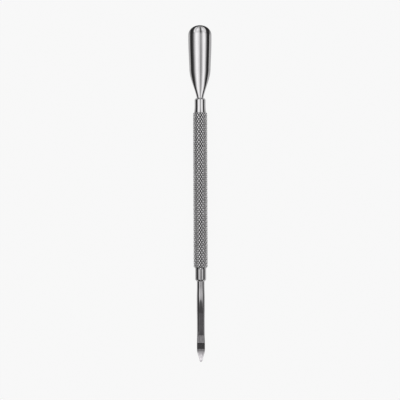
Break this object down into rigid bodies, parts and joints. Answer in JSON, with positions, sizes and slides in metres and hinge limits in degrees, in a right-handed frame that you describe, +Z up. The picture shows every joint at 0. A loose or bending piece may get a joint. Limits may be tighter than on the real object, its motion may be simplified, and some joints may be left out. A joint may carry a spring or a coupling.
{
  "type": "cuticle pusher",
  "caption": "Slim double-ended steel cuticle pusher: a curved spoon pusher and a pointed scraper blade, joined by smooth collars to a diamond-knurled handle.",
  "frame": {"origin": "on the surface the tool lies on, under the middle of its length, on its plane of symmetry", "axes": "+Y along the handle towards the spoon's end, +Z up with the spoon's hollow facing down, +X across; the handle's axis is 2.9 mm above the origin"},
  "size_m": [0.0096, 0.14, 0.0058],
  "materials": {
    "knurled_steel": "diamond knurled, bright",
    "polished_steel": "mirror polished",
    "ground_steel": "ground along its length, then lightly polished"
  },
  "bodies": {
    "root": {"handle_tube": "knurled_steel", "spoon_ferrule": "polished_steel", "scraper_ferrule": "polished_steel", "spoon_pusher": "polished_steel", "scraper_blade": "ground_steel"}
  },
  "joints": []
}
